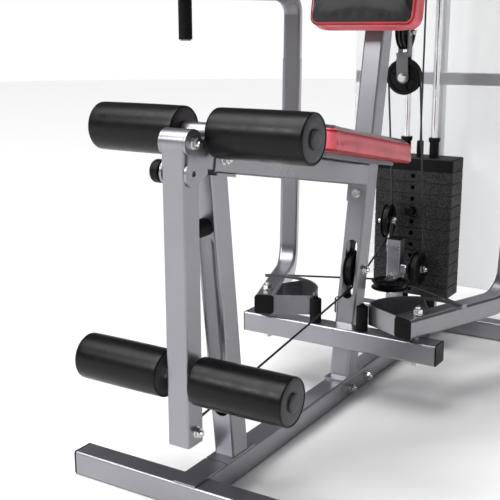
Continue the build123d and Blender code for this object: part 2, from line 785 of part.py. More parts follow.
def cam_outline(side):
    """Plan outline of an arm's cam: front face, round rim about the hinge, root on the tube."""
    turn = radians(ARM_TURN)
    hinge = (side * ARM_X, ARM_Y)
    half = ARM / 2 - 0.5
    nose = (
        hinge[0] - ARM_NOSE * side * sin(turn) - side * half * cos(turn),
        hinge[1] - ARM_NOSE * cos(turn) + half * sin(turn),
    )
    first, last = radians(CAM_FIRST), radians(CAM_LAST)
    tip = (hinge[0] + side * CAM_R * cos(first), hinge[1] + CAM_R * sin(first))
    middle = (hinge[0] + side * CAM_R * cos((first + last) / 2), hinge[1] + CAM_R * sin((first + last) / 2))
    rear = (hinge[0] + side * CAM_R * cos(last), hinge[1] + CAM_R * sin(last))
    root = (
        hinge[0] + side * (60 * sin(turn) - half * cos(turn)),
        hinge[1] + 60 * cos(turn) + half * sin(turn),
    )
    return nose, tip, middle, rear, root


def cam(side):
    """Shallow cam tray on the arm's inner side: floor, front face and round rim."""
    low = ARM_Z - ARM / 2
    nose, tip, middle, rear, root = cam_outline(side)
    with BuildPart() as piece:
        with BuildSketch(Plane.XY.offset(low)):
            with BuildLine():
                Line(nose, tip)
                ThreePointArc(tip, middle, rear)
                Line(rear, root)
                Line(root, nose)
            make_face()
        extrude(amount=ARM)
        with BuildSketch(Plane.XY.offset(low + CAM_T)):
            with BuildLine():
                Line(nose, tip)
                ThreePointArc(tip, middle, rear)
                Line(rear, root)
                Line(root, nose)
            make_face()
            offset(amount=-CAM_T, kind=Kind.INTERSECTION)
        extrude(amount=ARM, mode=Mode.SUBTRACT)
    return piece.part


def rim_point(side, radius, degrees_round):
    """Point on a circle about an arm's hinge, the angle measured from the inward side."""
    turn = radians(degrees_round)
    return (side * (ARM_X - radius * cos(turn)), ARM_Y + radius * sin(turn))


def cam_guide(side):
    """Round strip on the cam and the arm, against which the arm's cable lies."""
    inner, outer = CAM_R - CAM_T, CAM_R
    first, last = GUIDE_SPAN
    middle = (first + last) / 2
    with BuildPart() as piece:
        with BuildSketch(Plane.XY.offset(ARM_Z + ARM / 2 - 1)):
            with BuildLine():
                ThreePointArc(*[rim_point(side, outer, turn) for turn in (first, middle, last)])
                Line(rim_point(side, outer, last), rim_point(side, inner, last))
                ThreePointArc(*[rim_point(side, inner, turn) for turn in (last, middle, first)])
                Line(rim_point(side, inner, first), rim_point(side, outer, first))
            make_face()
        extrude(amount=CABLE_Z + 4 - ARM_Z - ARM / 2)
        turn = guide_tangent(side)[2]
        with BuildSketch(Plane.XY.offset(ARM_Z + ARM / 2 - 1)):
            with BuildLine():
                Polyline(
                    rim_point(side, inner, turn + 0.4),
                    rim_point(side, outer + 8, turn + 0.4),
                    rim_point(side, outer + 8, turn + 4),
                    rim_point(side, inner, turn + 4),
                    close=True,
                )
            make_face()
        extrude(amount=CABLE_Z + 5 - ARM_Z - ARM / 2)
    return piece.part


def press_arm(side):
    """Press arm: bent square tube with its cam and hinge bush."""
    heading = arm_heading(side)
    across = (heading[1], -heading[0], 0)
    start = (*arm_point(-ARM_NOSE, side), ARM_Z)
    bend = (*arm_point(ARM_RUN, side), ARM_Z)
    with BuildPart() as piece:
        add(square_sweep([start, bend, arm_riser(side, ARM_RISE_Z)], 75.0, ARM, WALL, heading, across))
        add(cam(side))
        add(cam_guide(side))
        add(rod(along(side * ARM_X, ARM_Y, ARM_Z - ARM / 2, (0, 0, 1)), 11.0, ARM))
        with BuildSketch(along(side * ARM_X, ARM_Y, ARM_Z - ARM / 2 - 1, (0, 0, 1))):
            Circle(6.0 + FIT)
        extrude(amount=ARM + 2, mode=Mode.SUBTRACT)
    return piece.part


def riser_plane(side, z):
    """Plane across an arm's riser at a height."""
    heading = arm_heading(side)
    lean = radians(ARM_LEAN)
    up = (heading[0] * sin(lean), heading[1] * sin(lean), cos(lean))
    return Plane(origin=arm_riser(side, z), x_dir=(heading[1], -heading[0], 0), z_dir=up)


def upper_arm(side):
    """Telescopic upper arm: spigot, riser, forward run and the pad's post."""
    joint = riser_plane(side, ARM_RISE_Z)
    hub = (side * HUB[0], HUB[1], HUB[2])
    spigot = ARM - 2 * WALL - 0.6
    with BuildPart() as piece:
        add(square_sweep([joint.origin, arm_riser(side, HUB[2]), hub], 60.0, ARM - 2, WALL,
                         joint.z_dir, joint.x_dir))
        with BuildSketch(joint.offset(-70)):
            RectangleRounded(spigot, spigot, 5.0)
        extrude(amount=72)
        add(rod(along(*hub, (0, 0, 1)).offset(-125), 13.0, PAD_HIGH - HUB[2] + 131))
        add(rod(along(*hub, (0, 0, 1)).offset(-28), 27.0, 56))
    return piece.part


def arm_pad(side):
    """Forearm roller on the upper arm's post."""
    with BuildPart() as piece:
        with BuildSketch(along(side * HUB[0], HUB[1], PAD_LOW, (0, 0, 1))):
            Circle(ROLLER_R)
            Circle(13.3, mode=Mode.SUBTRACT)
        extrude(amount=PAD_HIGH - PAD_LOW)
        rims = piece.edges().filter_by(GeomType.CIRCLE).filter_by(lambda e: e.radius > ROLLER_R - 1)
        fillet(rims, 4.0)
    return piece.part


def arm_grips(side):
    """Rubber pieces of an arm: the nose plug and the hand grip under the hub."""
    heading = arm_heading(side)
    nose = Plane(
        origin=(*arm_point(-ARM_NOSE, side), ARM_Z),
        x_dir=(heading[1], -heading[0], 0),
        z_dir=(-heading[0], -heading[1], 0),
    )
    with BuildPart() as grip:
        with BuildSketch(along(side * HUB[0], HUB[1], HUB[2] - 122, (0, 0, 1))):
            Circle(16.5)
            Circle(13.1, mode=Mode.SUBTRACT)
        extrude(amount=92)
    return joined(end_plug(nose, ARM, lip=4.0, corner=8.0), grip.part)


# ---- pulleys -------------------------------------------------------------------------
def wheel(centre, axis):
    """Grooved pulley wheel turning about the given axis."""
    frame = Plane(origin=centre, z_dir=axis)
    half = WHEEL_T / 2
    with BuildPart() as piece:
        with BuildSketch(Plane(origin=centre, x_dir=frame.x_dir, z_dir=-frame.y_dir)):
            with BuildLine():
                Polyline(
                    (SHANK + FIT, -half),
                    (16, -half),
                    (18, -half + 3.5),
                    (WHEEL_R - 9, -half + 3.5),
                    (WHEEL_R - 7, -half),
                    (WHEEL_R, -half),
                    (WHEEL_R, -half + 1.8),
                    (GROOVE_R, -4.6),
                    (GROOVE_R, 4.6),
                    (WHEEL_R, half - 1.8),
                    (WHEEL_R, half),
                    (WHEEL_R - 7, half),
                    (WHEEL_R - 9, half - 3.5),
                    (18, half - 3.5),
                    (16, half),
                    (SHANK + FIT, half),
                    close=True,
                )
            make_face()
        revolve(axis=Axis(centre, axis), revolution_arc=360)
    return piece.part


def wheel_axle(centre, axis, half):
    """Bolt through a pulley with a head and a nut outside its cheeks."""
    unit = Vector(*axis).normalized()
    start = Vector(*centre) - unit * half
    return fastener(tuple(start), tuple(unit), 2 * half)


def wrap(before, corner, after, radius):
    """Centre and axis of the round stretch that a taut cable makes at a corner of its route."""
    first = (Vector(*before) - Vector(*corner)).normalized()
    second = (Vector(*after) - Vector(*corner)).normalized()
    bisector = (first + second).normalized()
    half_angle = radians(first.get_angle(second)) / 2
    centre = Vector(*corner) + bisector * (radius / sin(half_angle))
    return tuple(centre), tuple(first.cross(second).normalized())


def cable(points, radii):
    """Taut cable: straight runs joined by arcs of the pulleys' size."""
    with BuildPart() as piece:
        with BuildLine() as path:
            FilletPolyline(*points, radius=radii)
        run = path.wires()[0]
        with BuildSketch(Plane(origin=run @ 0, z_dir=run % 0)):
            Circle(CABLE_R)
        sweep(path=run)
    return piece.part


def leg_wheel(corner):
    """Centre and axis of the pulley at a corner of the leg cable's route."""
    return wrap(*LEG_ROUTE[corner - 1:corner + 2], CABLE_RUN_R)


def low_wheels():
    """Centre, outward axis and bracket height of the two low pulleys, left then right."""
    places = []
    for corner, anchor_z in ((2, 296.0), (5, 245.0)):
        centre, axis = leg_wheel(corner)
        side = 1 if centre[0] > 0 else -1
        unit = Vector(*axis).normalized()
        if unit.X * side < 0:
            unit = unit * -1
        places.append((centre, tuple(unit), anchor_z))
    return places


def guide_tangent(side):
    """Outer tangent from an arm's cam guide to the yoke pulley, both ends in plan."""
    run_r = CAM_R + CABLE_R + 0.3
    across, back = YOKE[0] - side * ARM_X, YOKE[1] - ARM_Y
    reach = hypot(across, back)
    swing = atan2(back, -side * across) + acos((run_r - CABLE_RUN_R) / reach)
    way = (-side * cos(swing), sin(swing))
    start = (side * ARM_X + way[0] * run_r, ARM_Y + way[1] * run_r)
    end = (YOKE[0] + way[0] * CABLE_RUN_R, YOKE[1] + way[1] * CABLE_RUN_R)
    return start, end, degrees(swing)


def leg_cable_split():
    """Point on the leg cable's first run, just before it meets the mast pulley."""
    start, corner, after = [Vector(*point) for point in LEG_ROUTE[:3]]
    back = (start - corner).normalized()
    half_turn = (180 - back.get_angle(after - corner)) / 2
    return tuple(corner + back * (CABLE_RUN_R * tan(radians(half_turn)) + LEG_CABLE_LEAD))


def leg_cable_run():
    """Straight run of the leg cable from the leg developer to the mast pulley."""
    start, end = Vector(*LEG_ROUTE[0]), Vector(*leg_cable_split())
    return rod(Plane(origin=tuple(start), z_dir=tuple(end - start)), CABLE_R, (end - start).length)


def arm_cable():
    """Arm cable between the two cams: two straight runs and the turn round the yoke pulley."""
    left_start, left_end, _ = guide_tangent(-1)
    right_start, right_end, _ = guide_tangent(1)
    rear = (YOKE[0], YOKE[1] + CABLE_RUN_R)
    with BuildPart() as piece:
        with BuildLine(Plane.XY.offset(CABLE_Z)) as path:
            Line(left_start, left_end)
            ThreePointArc(left_end, rear, right_end)
            Line(right_end, right_start)
        run = path.wires()[0]
        with BuildSketch(Plane(origin=run @ 0, z_dir=run % 0)):
            Circle(CABLE_R)
        sweep(path=run)
    return piece.part


def cheek_plate(start, end, normal, offset_by, width, thickness):
    """Flat link with round ends between two pins."""
    first, last = Vector(*start), Vector(*end)
    middle = (first + last) * 0.5
    plane = Plane(origin=tuple(middle), x_dir=tuple(last - first), z_dir=normal)
    with BuildPart() as piece:
        with BuildSketch(plane.offset(offset_by)):
            SlotCenterToCenter((last - first).length, width)
        extrude(amount=thickness)
    return piece.part


def bracket_plane(centre, unit):
    """Plane of the bracket plate on the inner side of a low pulley."""
    inner = Vector(*centre) - Vector(*unit) * (CHEEK_GAP + CHEEK_T)
    return Plane(origin=tuple(inner), z_dir=unit)


def pulley_column():
    """Short column on the rail with the bracket plates of the two low pulleys."""
    with BuildPart() as piece:
        add(tube(along(0, COLUMN_Y, RAIL, (0, 0, 1)), COLUMN, COLUMN, COLUMN_TOP_Z - RAIL, 4.0, 2.0))
        for centre, unit, anchor_z in low_wheels():
            side = 1 if centre[0] > 0 else -1
            plane = bracket_plane(centre, unit)
            to_anchor = Vector(plane.origin.X, COLUMN_Y, anchor_z) - plane.origin
            root = plane.origin + to_anchor - plane.z_dir * to_anchor.dot(plane.z_dir)
            add(cheek_plate(tuple(root), tuple(plane.origin), unit, 0.0, 26, CHEEK_T))
            face = along(side * COLUMN / 2, COLUMN_Y, anchor_z, (side, 0, 0), (0, 1, 0))
            add(block(face, 22, 22, abs(root.X) - COLUMN / 2 + CHEEK_T / 2, 3.0))
        for centre, unit, _ in low_wheels():
            add(rod(bracket_plane(centre, unit).offset(-1), SHANK + 0.1, CHEEK_T + 2), mode=Mode.SUBTRACT)
    return piece.part


def low_axles():
    """Bolts of the low pulleys, held by one bracket plate each."""
    axles = []
    for centre, unit, _ in low_wheels():
        start = bracket_plane(centre, unit).origin
        axles.append(fastener(tuple(start), unit, 2 * CHEEK_GAP + CHEEK_T))
    return axles


def float_axis():
    """Axis of the lower floating wheel, tilted to lie midway between its two cable runs."""
    left = Vector(*leg_wheel(3)[1])
    right = Vector(*leg_wheel(4)[1])
    if left.Y < 0:
        left = left * -1
    if right.Y < 0:
        right = right * -1
    return tuple((left + right).normalized())


def float_centre():
    """Centre of the lower floating wheel."""
    left = Vector(*leg_wheel(3)[0])
    right = Vector(*leg_wheel(4)[0])
    return tuple((left + right) * 0.5)


def pulley_blocks():
    """Cheek plates of the floating block and of the arm cable's yoke."""
    centre, axis = float_centre(), float_axis()
    up = Vector(1, 0, 0).cross(Vector(*axis))
    if up.Z < 0:
        up = up * -1
    top = Vector(*centre) + up * BLOCK_REACH
    with BuildPart() as floating:
        for offset_by in (CHEEK_GAP, -CHEEK_GAP - CHEEK_T):
            add(cheek_plate(centre, tuple(top), axis, offset_by, 30, CHEEK_T))
        bridge = along(0, FLOAT_Y - 5, FLOAT_Z + BLOCK_REACH + 6, (0, 0, 1))
        add(block(bridge, 2 * (CHEEK_GAP + CHEEK_T), 36, 9))
        link_low, link_high = (0, FLOAT_Y, FLOAT_Z + 60), (0, FLOAT_Y, UPPER_Z)
        for offset_by in (CHEEK_GAP, -CHEEK_GAP - CHEEK_T):
            add(cheek_plate(link_low, link_high, (1, 0, 0), offset_by, 24, CHEEK_T))
        add(rod(along(*centre, axis).offset(-30), SHANK + 0.1, 60), mode=Mode.SUBTRACT)
        add(rod(along(-30, FLOAT_Y, UPPER_Z, (1, 0, 0), (0, 1, 0)), SHANK + 0.1, 60), mode=Mode.SUBTRACT)
    tail = (YOKE[0], YOKE[1] + YOKE_TAIL, YOKE[2])
    with BuildPart() as yoke:
        for offset_by in (CHEEK_GAP, -CHEEK_GAP - CHEEK_T):
            add(cheek_plate(YOKE, tail, (0, 0, 1), offset_by, 24, CHEEK_T))
        add(block(along(YOKE[0], tail[1] + 1, YOKE[2] - 34, (0, 0, 1)), 16, 16, 34 + CHEEK_GAP))
        add(rod(along(*YOKE, (0, 0, 1)).offset(-30), SHANK + 0.1, 60), mode=Mode.SUBTRACT)
        add(cable_socket(LEG_ROUTE[-1], LEG_ROUTE[-2]), mode=Mode.SUBTRACT)
    return joined(floating.part, yoke.part)


def cable_socket(end, before):
    """Cutter that leaves a cable's end face against the floor of a small socket."""
    toward = (Vector(*before) - Vector(*end)).normalized()
    return rod(Plane(origin=end, z_dir=tuple(toward)), CABLE_R + 0.15, 60)


def pulley_axles():
    """Bolts of all the pulleys."""
    y, z = MAST_WHEEL
    axles = [wheel_axle((0, y, z), (1, 0, 0), MAST_W / 2)]
    axles += low_axles()
    axles.append(wheel_axle(float_centre(), float_axis(), CHEEK_GAP + CHEEK_T))
    axles.append(wheel_axle((0, FLOAT_Y, UPPER_Z), (1, 0, 0), CHEEK_GAP + CHEEK_T))
    axles.append(wheel_axle(YOKE, (0, 0, 1), CHEEK_GAP + CHEEK_T))
    for top_y in (TOP_FRONT_Y, TOP_MID_Y, top_rear_y()):
        axles.append(wheel_axle((0, top_y, TOP_WHEEL_Z), (1, 0, 0), BOOM_GAP / 2 + BOOM_W))
    return joined(*axles)


# ---- weight stack --------------------------------------------------------------------
def guide_rods():
    """Two chromed rods from the stack's base to the boom."""
    rods = []
    for side in (-1, 1):
        foot = along(side * ROD_X, STACK_Y, RAIL + ROD_SOCKET, (0, 0, 1))
        rods.append(rod(foot, ROD_R, BOOM_Z - HEADER_T - RAIL - ROD_SOCKET))
    return joined(*rods)


def stack_base():
    """Cross member that holds the rods' feet, and the plate that holds their heads."""
    with BuildPart() as foot:
        add(block(along(0, STACK_Y, RAIL, (0, 0, 1)), 150, 60, FOOT_H, 4.0))
        for side in (-1, 1):
            socket = along(side * ROD_X, STACK_Y, RAIL + ROD_SOCKET, (0, 0, 1))
            add(rod(socket, ROD_R + 0.05, 60), mode=Mode.SUBTRACT)
    with BuildPart() as head:
        add(block(along(0, STACK_Y, BOOM_Z - HEADER_T, (0, 0, 1)), 120, 50, HEADER_T, 4.0))
        with BuildSketch(along(0, STACK_Y, BOOM_Z - HEADER_T - 1, (0, 0, 1))):
            Circle(8)
        extrude(amount=HEADER_T + 2, mode=Mode.SUBTRACT)
    return joined(foot.part, head.part)


def plate(z):
    """One weight plate with its rod bores, stem bore and pin channel."""
    with BuildPart() as piece:
        add(block(along(0, STACK_Y, z, (0, 0, 1)), 2 * PLATE_HALF, PLATE_DEPTH, PLATE_T, 6.0))
        chamfer(piece.faces().sort_by(Axis.Z)[-1].edges(), 2.5)
        for x in (-ROD_X, ROD_X):
            add(hole((x, STACK_Y, z), (0, 0, 1), PLATE_T, ROD_R + 0.6), mode=Mode.SUBTRACT)
        add(hole((0, STACK_Y, z), (0, 0, 1), PLATE_T, STEM_R + 0.6), mode=Mode.SUBTRACT)
        front = STACK_Y - PLATE_DEPTH / 2
        add(hole((0, front, z + PLATE_T / 2), (0, 1, 0), PLATE_DEPTH / 2, 6.0), mode=Mode.SUBTRACT)
    return piece.part


def plates(first, count):
    """A run of weight plates."""
    return joined(*[plate(STACK_FOOT_Z + index * PLATE_PITCH) for index in range(first, first + count)])


def head_plate():
    """Top plate of the stack with tall rod bushes and the selector stem."""
    with BuildPart() as piece:
        add(block(along(0, STACK_Y, STACK_TOP_Z, (0, 0, 1)), 2 * PLATE_HALF, PLATE_DEPTH, HEAD_T, 6.0))
        chamfer(piece.faces().sort_by(Axis.Z)[-1].edges(), 2.5)
        for x in (-ROD_X, ROD_X):
            add(rod(along(x, STACK_Y, STACK_TOP_Z + HEAD_T, (0, 0, 1)), 12.0, 48))
            add(rod(along(x, STACK_Y, STACK_TOP_Z + HEAD_T + 40, (0, 0, 1)), 15.0, 10))
            add(hole((x, STACK_Y, STACK_TOP_Z), (0, 0, 1), 90, ROD_R + 0.5), mode=Mode.SUBTRACT)
        stem_low = STACK_FOOT_Z + 6
        add(rod(along(0, STACK_Y, stem_low, (0, 0, 1)), STEM_R, STACK_TOP_Z + HEAD_T + STEM_OUT - stem_low))
        for index in range(PLATES_DOWN + PLATES_UP):
            z = STACK_FOOT_Z + index * PLATE_PITCH + PLATE_T / 2
            add(hole((0, STACK_Y - STEM_R, z), (0, 1, 0), 2 * STEM_R, 5.2), mode=Mode.SUBTRACT)
    return piece.part


def selector_pin():
    """Selector pin with a round knob, in the lowest plate that is lifted."""
    z = STACK_FOOT_Z + PLATES_DOWN * PLATE_PITCH + PLATE_T / 2
    front = STACK_Y - PLATE_DEPTH / 2
    with BuildPart() as piece:
        add(rod(along(0, front - 6, z, (0, 1, 0)), 4.6, PLATE_DEPTH / 2 + STEM_R + 5))
        with BuildSketch(along(0, front - 24, z, (0, 1, 0))):
            Circle(13)
        extrude(amount=22)
        fillet(piece.faces().sort_by(Axis.Y)[0].edges(), 5.0)
    return piece.part


# ---- lat bar -------------------------------------------------------------------------
def lat_bar():
    """Wide pull-down bar with drooping ends, its eye and hook."""
    y, z = LAT_Y, LAT_Z - LAT_HOOK
    tip, bend, droop = LAT_BAR_HALF, LAT_BAR_BEND, LAT_BAR_DROOP
    points = [(-tip, y, z - droop), (-bend, y, z), (bend, y, z), (tip, y, z - droop)]
    with BuildPart() as piece:
        with BuildLine() as path:
            FilletPolyline(*points, radius=90)
        run = path.wires()[0]
        with BuildSketch(Plane(origin=run @ 0, z_dir=run % 0)):
            Circle(12.5)
        sweep(path=run)
        add(rod(along(0, y, z - 5, (0, 0, 1)), 7.0, LAT_HOOK + 5))
        add(rod(along(0, y, LAT_Z - 12, (0, 0, 1)), 10.0, 12))
    return piece.part


# ---- rubber, bolts and small parts ---------------------------------------------------
def buffers():
    """All rubber buffers: leg stop, arm stops and the stack's springs."""
    pieces = [leg_stop(), *arm_stop_pair()]
    for x in (-ROD_X, ROD_X):
        with BuildPart() as spring:
            with BuildSketch(along(x, STACK_Y, RAIL + FOOT_H, (0, 0, 1))):
                Circle(19)
                Circle(ROD_R + 0.4, mode=Mode.SUBTRACT)
            extrude(amount=STACK_FOOT_Z - RAIL - FOOT_H)
        pieces.append(spring.part)
    return joined(*pieces)


def lock_knob():
    """Spring pin with a round knob, seated in the left ear."""
    y, z = PIVOT_Y, LOCK_Z
    ear = -(LEG / 2 + GAP + EAR_T)
    with BuildPart() as piece:
        add(rod(along(ear - 26, y, z, (1, 0, 0), (0, 1, 0)), 5.0, 26 + EAR_T - 0.2))
        with BuildSketch(along(ear - 1, y, z, (-1, 0, 0), (0, 1, 0))):
            Circle(9)
        extrude(amount=6)
        with BuildSketch(along(ear - 7, y, z, (-1, 0, 0), (0, 1, 0))):
            Circle(20)
        extrude(amount=19)
        fillet(piece.faces().sort_by(Axis.X)[0].edges(), 7.0)
    return piece.part


def bolts():
    """Every frame bolt, each with its washers and nut, and the hinge bolts."""
    pieces = [fastener(*stub_bolt())]
    pieces.append(fastener(*plate_bolt()))
    pieces += [fastener(*place) for place in rail_bolts()]
    ear_out = LEG / 2 + GAP + EAR_T
    pieces.append(fastener((-ear_out, PIVOT_Y, PIVOT_Z), (1, 0, 0), 2 * ear_out))
    for side in (-1, 1):
        low = BAR_TOP_Z - BAR_H
        pieces.append(fastener((side * ARM_X, ARM_Y, low), (0, 0, 1), ARM_Z + ARM / 2 + 0.6 - low, 6.0))
    return joined(*pieces)


def tube_caps():
    """Every plastic tube plug of the frame."""
    pieces = [*stabilizer_caps().children, *crossbar_caps().children, *boom_caps().children]
    pieces.append(end_plug(along(0, COLUMN_Y, COLUMN_TOP_Z, (0, 0, 1)), COLUMN, lip=3.0))
    return joined(*pieces)


def arm_stop_pair():
    """The two arm stops with their bolts fused on."""
    stops = []
    for stop, bolt in zip(arm_stops().children, arm_stop_bolts().children):
        with BuildPart() as piece:
            add(stop)
            add(bolt)
        stops.append(piece.part)
    return stops


def main():
    """Make every piece and write it."""
    flange = frame_plate(RAIL, -608.0, -505.0)
    with BuildPart() as front_rail:
        add(rail(STAB_FRONT_Y + RAIL / 2, RAIL_JOINT_Y - 1.0))
        add(rail_splice())
        add(flange)
        add(frame_plate(RAIL, -503.0, -400.0))
    with BuildPart() as back_rail:
        add(rear_rail())
        add(frame_plate(RAIL, -17.0, 95.0, thickness=FLANGE_T + 1))
    with BuildPart() as post:
        add(seat_post())
        add(post_head())
    with BuildPart() as board:
        add(back_board())
        for spacer in back_spacers().children:
            add(spacer)
    keep(stabilizer(STAB_FRONT_Y, STAB_FRONT_HALF), "front_stabilizer")
    keep(stabilizer(STAB_REAR_Y, STAB_REAR_HALF), "rear_stabilizer")
    keep(front_rail.part, "front_rail")
    keep(back_rail.part, "rear_rail")
    keep(post.part, "seat_post")
    keep(seat_beam(), "seat_beam")
    keep(leg_bracket(), "leg_bracket")
    keep(leg_tube(), "leg_developer_tube")
    keep(axle(LOWER_AXLE, ROLLER_OUT + 3), "lower_roller_axle")
    keep(eye_bolt(), "cable_eye_bolt")
    keep(lock_knob(), "lock_knob")
    for level, centre in (("upper", UPPER_AXLE), ("lower", LOWER_AXLE)):
        for name, side in (("left", -1), ("right", 1)):
            keep(roller_foam(centre, side), f"{level}_{name}_roller")
    keep(seat_board(), "seat_board")
    keep(seat_cushion(), "seat_cushion")
    keep(board.part, "back_board")
    keep(back_cushion(), "back_cushion")
    keep(mast(), "mast")
    keep(crossbar(), "crossbar")
    keep(boom(), "top_boom")
    keep(rear_upright(), "rear_upright")
    keep(brace_bar(), "brace_bar")
    keep(rear_guard(), "rear_guard")
    for name, side in (("left", -1), ("right", 1)):
        keep(press_arm(side), f"{name}_press_arm")
        keep(upper_arm(side), f"{name}_upper_arm")
        keep(arm_pad(side), f"{name}_arm_pad")
        keep(arm_grips(side), f"{name}_arm_grips")
    keep(wheel((0, *MAST_WHEEL), (1, 0, 0)), "mast_pulley")
    for name, place in zip(("left", "right"), low_wheels()):
        keep(wheel(place[0], place[1]), f"low_{name}_pulley")
    keep(wheel(float_centre(), float_axis()), "floating_pulley")
    keep(wheel((0, FLOAT_Y, UPPER_Z), (1, 0, 0)), "upper_floating_pulley")
    keep(wheel(YOKE, (0, 0, 1)), "yoke_pulley")
    keep(wheel((0, TOP_FRONT_Y, TOP_WHEEL_Z), (1, 0, 0)), "top_front_pulley")
    keep(wheel((0, TOP_MID_Y, TOP_WHEEL_Z), (1, 0, 0)), "top_middle_pulley")
    keep(wheel((0, top_rear_y(), TOP_WHEEL_Z), (1, 0, 0)), "top_rear_pulley")
    keep(pulley_column(), "pulley_column")
    keep(pulley_blocks(), "pulley_blocks")
    keep(pulley_axles(), "pulley_axles")
    keep(guide_rods(), "guide_rods")
    keep(stack_base(), "stack_base")
    keep(plates(0, PLATES_DOWN), "lower_plates")
    keep(plates(PLATES_DOWN, PLATES_UP), "lifted_plates")
    keep(head_plate(), "stack_head")
    keep(selector_pin(), "selector_pin")
    keep(lat_bar(), "lat_bar")
    keep(buffers(), "rubber_buffers")
    keep(tube_caps(), "tube_caps")
    keep(bolts(), "bolts")
    keep(leg_cable_run(), "leg_cable_run")
    leg_cable = cable([leg_cable_split(), *LEG_ROUTE[1:]], [CABLE_RUN_R] * 5)
    keep(joined(leg_cable, arm_cable()), "low_cables")
    keep(cable(LAT_ROUTE, [CABLE_RUN_R - 0.2] * 6), "lat_cable")
    keep(rod(along(0, LAT_Y, LAT_Z, (0, 0, 1)), CABLE_R, LAT_DROP - 0.3), "lat_cable_front")
    stem_top = STACK_TOP_Z + HEAD_T + STEM_OUT
    keep(rod(along(0, STACK_Y, stem_top, (0, 0, 1)), CABLE_R, TOP_WHEEL_Z - stem_top - 0.3), "lat_cable_rear")


main()
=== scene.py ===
import json
from math import cos, hypot, pi, radians, sin

import bmesh
import bpy
from mathutils import Matrix, Vector
from mathutils.bvhtree import BVHTree


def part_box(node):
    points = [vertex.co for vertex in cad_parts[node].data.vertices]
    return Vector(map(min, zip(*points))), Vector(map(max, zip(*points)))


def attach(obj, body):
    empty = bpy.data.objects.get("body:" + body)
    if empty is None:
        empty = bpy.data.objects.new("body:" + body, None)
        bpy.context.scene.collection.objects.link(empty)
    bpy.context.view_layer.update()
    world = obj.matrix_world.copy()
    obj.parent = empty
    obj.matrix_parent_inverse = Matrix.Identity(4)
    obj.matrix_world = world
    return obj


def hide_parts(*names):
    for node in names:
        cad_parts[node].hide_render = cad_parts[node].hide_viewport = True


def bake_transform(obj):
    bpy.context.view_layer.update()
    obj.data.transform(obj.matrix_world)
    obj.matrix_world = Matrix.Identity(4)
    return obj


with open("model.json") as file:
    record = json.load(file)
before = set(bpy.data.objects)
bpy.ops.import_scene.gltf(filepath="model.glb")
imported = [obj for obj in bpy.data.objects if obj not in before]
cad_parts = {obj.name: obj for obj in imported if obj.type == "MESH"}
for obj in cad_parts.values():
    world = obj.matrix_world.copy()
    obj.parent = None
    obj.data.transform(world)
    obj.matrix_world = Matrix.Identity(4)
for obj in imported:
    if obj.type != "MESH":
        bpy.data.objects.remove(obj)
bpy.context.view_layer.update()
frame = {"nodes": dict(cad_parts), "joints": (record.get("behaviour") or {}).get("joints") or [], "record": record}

# ---- camera --------------------------------------------------------------------------
CAMERA_AT = Vector((0.89897, -1.82276, 0.84397))
HEADING, TILT, ROLL = radians(31.94), radians(13.54), radians(-0.18)


def make_camera():
    """Camera at the photograph's angle."""
    forward = Vector((-sin(HEADING) * cos(TILT), cos(HEADING) * cos(TILT), -sin(TILT)))
    level = Vector((cos(HEADING), sin(HEADING), 0))
    upright = level.cross(forward)
    right = level * cos(ROLL) + upright * sin(ROLL)
    up = upright * cos(ROLL) - level * sin(ROLL)
    data = bpy.data.cameras.new("camera")
    data.sensor_width = 36.0
    data.lens = 66.33
    data.clip_end = 100.0
    camera = bpy.data.objects.new("camera", data)
    camera.matrix_world = Matrix((right, up, -forward)).transposed().to_4x4()
    camera.matrix_world.translation = CAMERA_AT
    bpy.context.scene.collection.objects.link(camera)
    bpy.context.scene.camera = camera


make_camera()


# ---- materials -----------------------------------------------------------------------
PANEL = "panel"
PANEL_EDGE = 0.012             # sewn edge of the black top, measured in from the cushion's side


